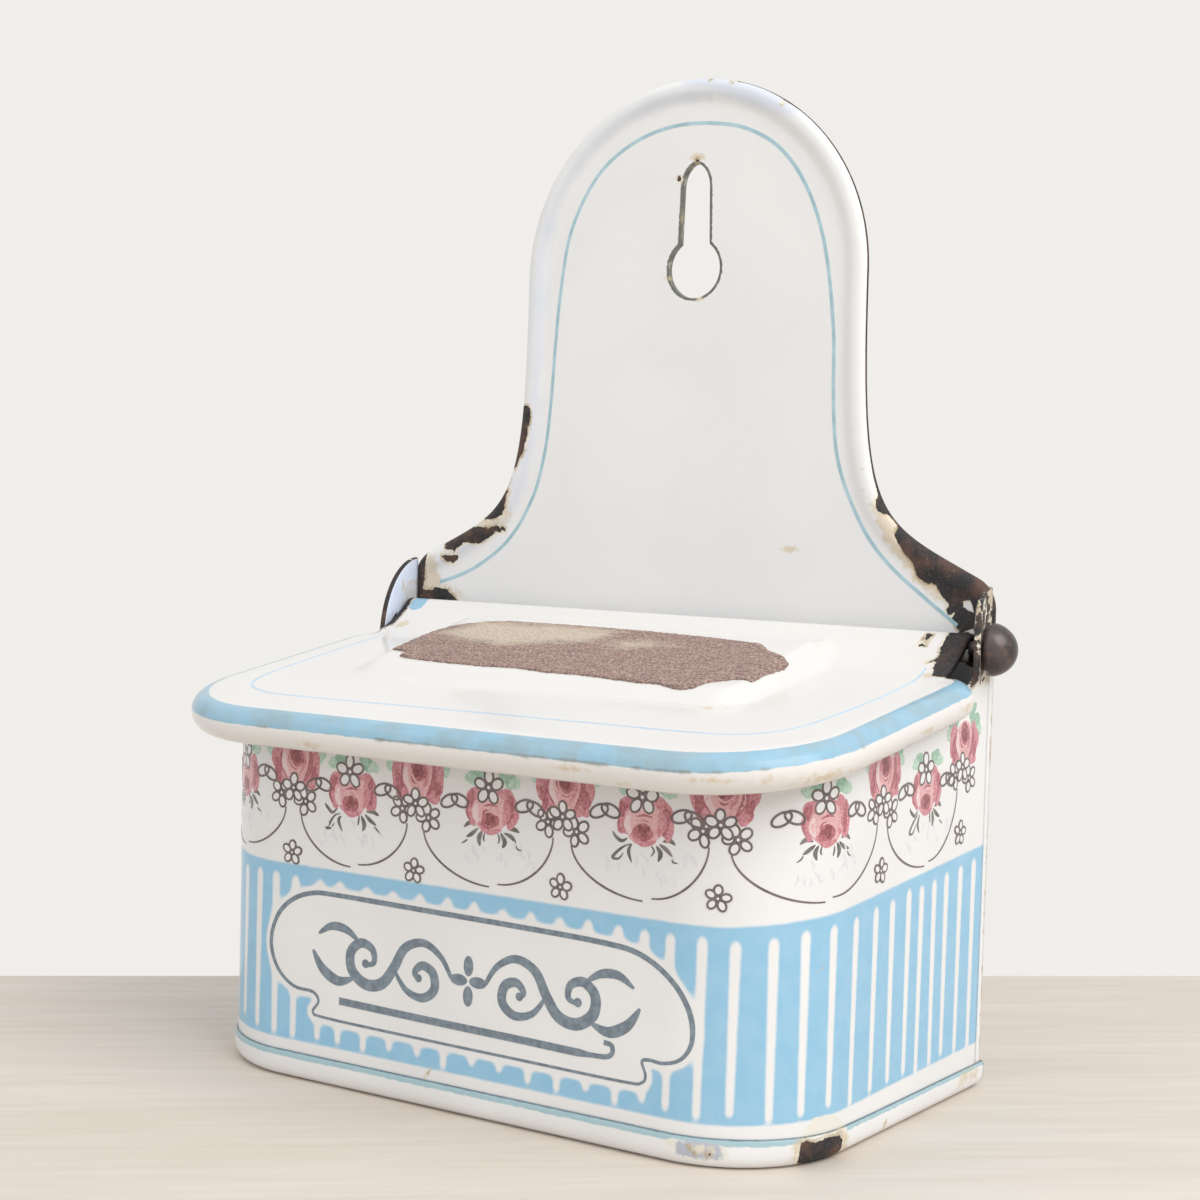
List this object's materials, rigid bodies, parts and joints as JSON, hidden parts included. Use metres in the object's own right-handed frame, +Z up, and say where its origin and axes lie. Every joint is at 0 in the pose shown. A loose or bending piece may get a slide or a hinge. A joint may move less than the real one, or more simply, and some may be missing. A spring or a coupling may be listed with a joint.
{
  "type": "match holder",
  "caption": "Wall match holder of cream enamelled steel with blue stripes and a rose garland: open box, hinged lid with a striking pad, high back plate with keyhole.",
  "frame": {"origin": "at table height, in the middle of the overall width and depth (bounding box bottom centre)", "axes": "+X across to the holder's right seen from the front, +Y from the front to the wall, +Z up along the back plate"},
  "size_m": [0.1348, 0.0804, 0.18],
  "materials": {
    "enamel": "gloss vitreous enamel, cream white with light blue bands and stripes, worn and chipped",
    "grit": "rough brown striking grit, worn in streaks",
    "dark_steel": "dark brown rusted steel, rubbed smooth"
  },
  "bodies": {
    "case": {"back_plate": "enamel", "box_wall": "enamel", "bottom_pan": "enamel", "hinge_rod": "dark_steel", "rod_knob": "dark_steel", "rod_button": "dark_steel", "knob_washer": "dark_steel", "button_washer": "dark_steel"},
    "lid": {"lid": "enamel", "striker_pad": "grit"}
  },
  "joints": [
    {"name": "lid_hinge", "type": "hinge", "parent": "case", "child": "lid", "pos_m": [0, 0.03378, 0.07742], "axis": [-1, 0, 0], "range_deg": [0, 100]}
  ]
}
